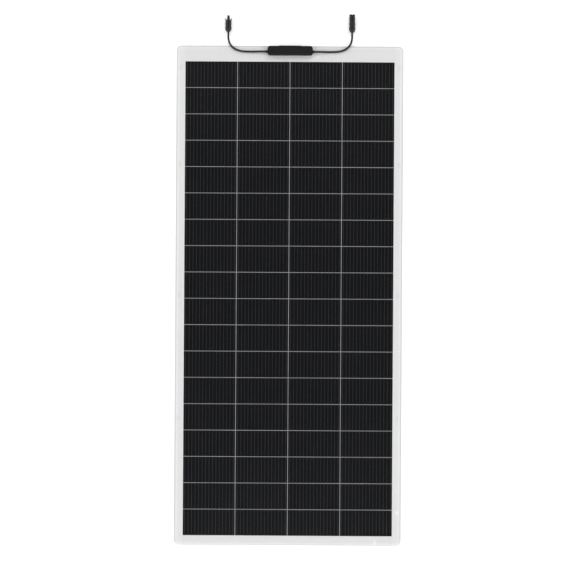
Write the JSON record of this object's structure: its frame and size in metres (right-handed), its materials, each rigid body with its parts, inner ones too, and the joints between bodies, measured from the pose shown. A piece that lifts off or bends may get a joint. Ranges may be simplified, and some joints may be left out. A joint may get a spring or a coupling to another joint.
{
  "type": "flexible solar sheet",
  "caption": "Thin flexible solar sheet with dark cells in a pale margin, a low junction box at one end, and short cables that end in a latching plug and a socket.",
  "frame": {"origin": "middle of the sheet's back, on the surface that it lies on", "axes": "+X to the right, +Y towards the end with the junction box, +Z out of the face that looks at the sun"},
  "size_m": [0.728, 1.7014, 0.0214],
  "materials": {
    "white_laminate": "satin, faintly mottled",
    "clear_film": "clear, soft gloss",
    "cell_silicon": "near black, with fine pale wires",
    "tinned_copper": "tinned",
    "black_plastic": "fine moulded texture",
    "black_rubber": "matt",
    "adhesive_foam": "matt"
  },
  "bodies": {
    "sheet_1": {"back_sheet_1": "white_laminate", "cell_group_1": "cell_silicon", "front_sheet_1": "clear_film", "mask_box_end": "white_laminate", "bus_lead_left": "tinned_copper", "bus_lead_right": "tinned_copper", "bus_link_box_end": "tinned_copper", "terminal_left": "tinned_copper", "terminal_middle": "tinned_copper", "terminal_right": "tinned_copper", "plug_contact": "tinned_copper", "socket_contact": "tinned_copper", "box_adhesive": "adhesive_foam", "box_base": "black_plastic", "box_gasket": "black_rubber", "bypass_diode_left": "black_plastic", "bypass_diode_right": "black_plastic", "cable_gland_left": "black_rubber", "cable_gland_right": "black_rubber", "cable_left": "black_rubber", "cable_right": "black_rubber", "plug_housing": "black_plastic", "plug_cable_seal": "black_rubber", "socket_housing": "black_plastic", "socket_cable_seal": "black_rubber", "plug_o_ring": "black_rubber"},
    "sheet_2": {"back_sheet_2": "white_laminate", "cell_group_2": "cell_silicon", "front_sheet_2": "clear_film"},
    "sheet_3": {"back_sheet_3": "white_laminate", "cell_group_3": "cell_silicon", "front_sheet_3": "clear_film"},
    "sheet_4": {"back_sheet_4": "white_laminate", "cell_group_4": "cell_silicon", "front_sheet_4": "clear_film"},
    "sheet_5": {"back_sheet_5": "white_laminate", "cell_group_5": "cell_silicon", "front_sheet_5": "clear_film"},
    "sheet_6": {"back_sheet_6": "white_laminate", "cell_group_6": "cell_silicon", "front_sheet_6": "clear_film"},
    "sheet_7": {"back_sheet_7": "white_laminate", "cell_group_7": "cell_silicon", "front_sheet_7": "clear_film"},
    "sheet_8": {"back_sheet_8": "white_laminate", "cell_group_8": "cell_silicon", "front_sheet_8": "clear_film"},
    "sheet_9": {"back_sheet_9": "white_laminate", "cell_group_9": "cell_silicon", "front_sheet_9": "clear_film", "mask_far_end": "white_laminate", "bus_link_far_left": "tinned_copper", "bus_link_far_right": "tinned_copper"},
    "lid": {"box_lid": "black_plastic"},
    "plug_clamp": {"plug_clamp_ring": "black_plastic"},
    "plug_nut": {"plug_nut": "black_plastic"},
    "socket_clamp": {"socket_clamp_ring": "black_plastic"},
    "socket_nut": {"socket_nut": "black_plastic"},
    "latch_left": {"plug_latch_left": "black_plastic"},
    "latch_right": {"plug_latch_right": "black_plastic"}
  },
  "joints": [
    {"name": "bend_1", "type": "hinge", "parent": "sheet_1", "child": "sheet_2", "pos_m": [0, 0.58175, 0.0012], "axis": [-1, 0, 0], "range_deg": [0, 3.75], "stiffness_Nm_per_rad": 12},
    {"name": "bend_2", "type": "hinge", "parent": "sheet_2", "child": "sheet_3", "pos_m": [0, 0.41275, 0.0012], "axis": [-1, 0, 0], "range_deg": [0, 3.75], "stiffness_Nm_per_rad": 12},
    {"name": "bend_3", "type": "hinge", "parent": "sheet_3", "child": "sheet_4", "pos_m": [0, 0.24375, 0.0012], "axis": [-1, 0, 0], "range_deg": [0, 3.75], "stiffness_Nm_per_rad": 12},
    {"name": "bend_4", "type": "hinge", "parent": "sheet_4", "child": "sheet_5", "pos_m": [0, 0.07475, 0.0012], "axis": [-1, 0, 0], "range_deg": [0, 3.75], "stiffness_Nm_per_rad": 12},
    {"name": "bend_5", "type": "hinge", "parent": "sheet_5", "child": "sheet_6", "pos_m": [0, -0.09425, 0.0012], "axis": [-1, 0, 0], "range_deg": [0, 3.75], "stiffness_Nm_per_rad": 12},
    {"name": "bend_6", "type": "hinge", "parent": "sheet_6", "child": "sheet_7", "pos_m": [0, -0.26325, 0.0012], "axis": [-1, 0, 0], "range_deg": [0, 3.75], "stiffness_Nm_per_rad": 12},
    {"name": "bend_7", "type": "hinge", "parent": "sheet_7", "child": "sheet_8", "pos_m": [0, -0.43225, 0.0012], "axis": [-1, 0, 0], "range_deg": [0, 3.75], "stiffness_Nm_per_rad": 12},
    {"name": "bend_8", "type": "hinge", "parent": "sheet_8", "child": "sheet_9", "pos_m": [0, -0.60125, 0.0012], "axis": [-1, 0, 0], "range_deg": [0, 3.75], "stiffness_Nm_per_rad": 12},
    {"name": "lid_lift", "type": "slide", "parent": "sheet_1", "child": "lid", "axis": [0, 0, 1], "range_m": [0, 0.03]},
    {"name": "plug_clamp_slide", "type": "slide", "parent": "sheet_1", "child": "plug_clamp", "axis": [0, -1, 0], "range_m": [0, 0.006]},
    {"name": "plug_nut_turn", "type": "hinge", "parent": "plug_clamp", "child": "plug_nut", "pos_m": [-0.198, 0.85, 0.0108], "axis": [0, -1, 0], "range_deg": [0, 1080]},
    {"name": "socket_clamp_slide", "type": "slide", "parent": "sheet_1", "child": "socket_clamp", "axis": [0, -1, 0], "range_m": [0, 0.006]},
    {"name": "socket_nut_turn", "type": "hinge", "parent": "socket_clamp", "child": "socket_nut", "pos_m": [0.198, 0.85, 0.011], "axis": [0, -1, 0], "range_deg": [0, 1080]},
    {"name": "latch_left_flex", "type": "hinge", "parent": "sheet_1", "child": "latch_left", "pos_m": [-0.20675, 0.8728, 0.0108], "axis": [0, 0, -1], "range_deg": [0, 5], "stiffness_Nm_per_rad": 0.2},
    {"name": "latch_right_flex", "type": "hinge", "parent": "sheet_1", "child": "latch_right", "pos_m": [-0.18925, 0.8728, 0.0108], "axis": [0, 0, 1], "range_deg": [0, 5], "stiffness_Nm_per_rad": 0.2}
  ],
  "couplings": [
    {"joint": "plug_nut_turn", "follows": "plug_clamp_slide", "rad_per_m": 3141.6},
    {"joint": "socket_nut_turn", "follows": "socket_clamp_slide", "rad_per_m": 3141.6},
    {"joint": "latch_right_flex", "follows": "latch_left_flex", "ratio": 1}
  ]
}
